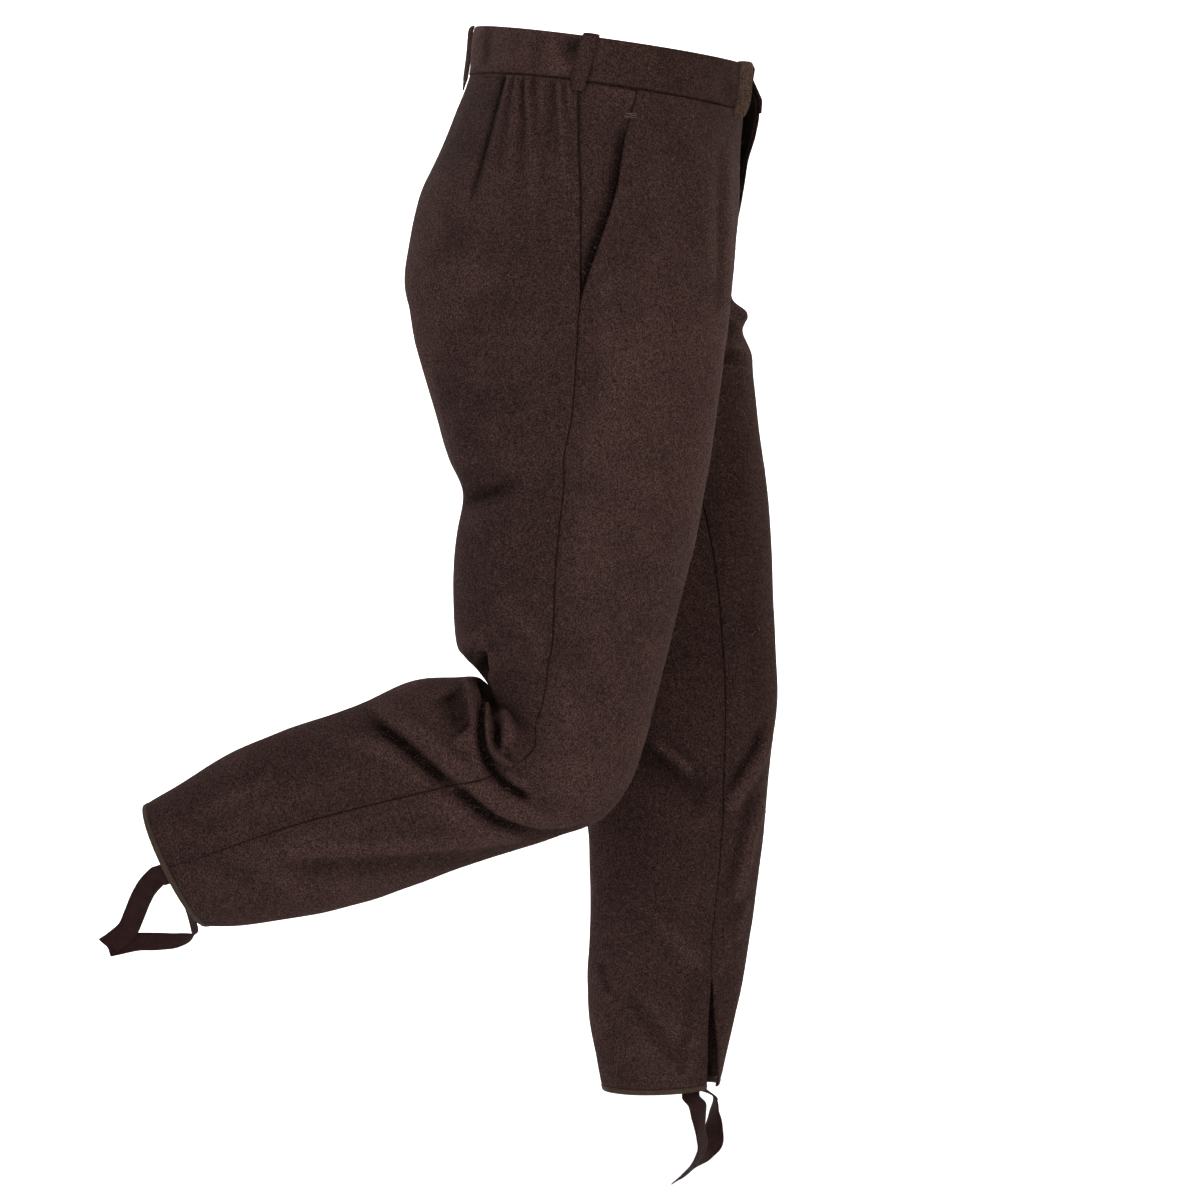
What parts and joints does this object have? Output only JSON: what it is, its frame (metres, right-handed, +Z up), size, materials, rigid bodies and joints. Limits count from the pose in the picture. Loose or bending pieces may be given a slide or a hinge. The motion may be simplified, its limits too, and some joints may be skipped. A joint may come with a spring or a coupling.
{
  "type": "uniform trousers, filled out with no wearer, right knee bent",
  "caption": "Brown wool uniform trousers with belt loops, slanted pockets, an open fly top and stirrup straps, one knee bent.",
  "frame": {"origin": "middle of the waist opening, at the height of the waistband's top", "axes": "+Z up along the body, -Y to the front, -X to the wearer's right"},
  "size_m": [0.384, 0.6661, 1.1733],
  "materials": {
    "wool_cloth": "matte",
    "band_cloth": "matte",
    "facing_cloth": "matte",
    "hem_binding": "matte",
    "stirrup_tape": "matte",
    "button_horn": "satin"
  },
  "bodies": {
    "root": {"front_right": "wool_cloth", "back_right": "wool_cloth", "front_left": "wool_cloth", "back_left": "wool_cloth", "waistband_right": "band_cloth", "waistband_left": "band_cloth", "pocket_facing_right": "wool_cloth", "pocket_facing_left": "wool_cloth", "hem_binding_right": "hem_binding", "hem_binding_left": "hem_binding", "belt_loop_back": "band_cloth", "belt_loop_side_right": "band_cloth", "belt_loop_side_left": "band_cloth", "belt_loop_front_right": "band_cloth", "belt_loop_front_left": "band_cloth", "fly_facing_left": "facing_cloth", "fly_shield_right": "wool_cloth", "fly_button_1": "button_horn", "fly_button_2": "button_horn", "fly_button_3": "button_horn", "fly_button_4": "button_horn", "stirrup_strap_right": "stirrup_tape", "stirrup_strap_left": "stirrup_tape"}
  },
  "joints": []
}
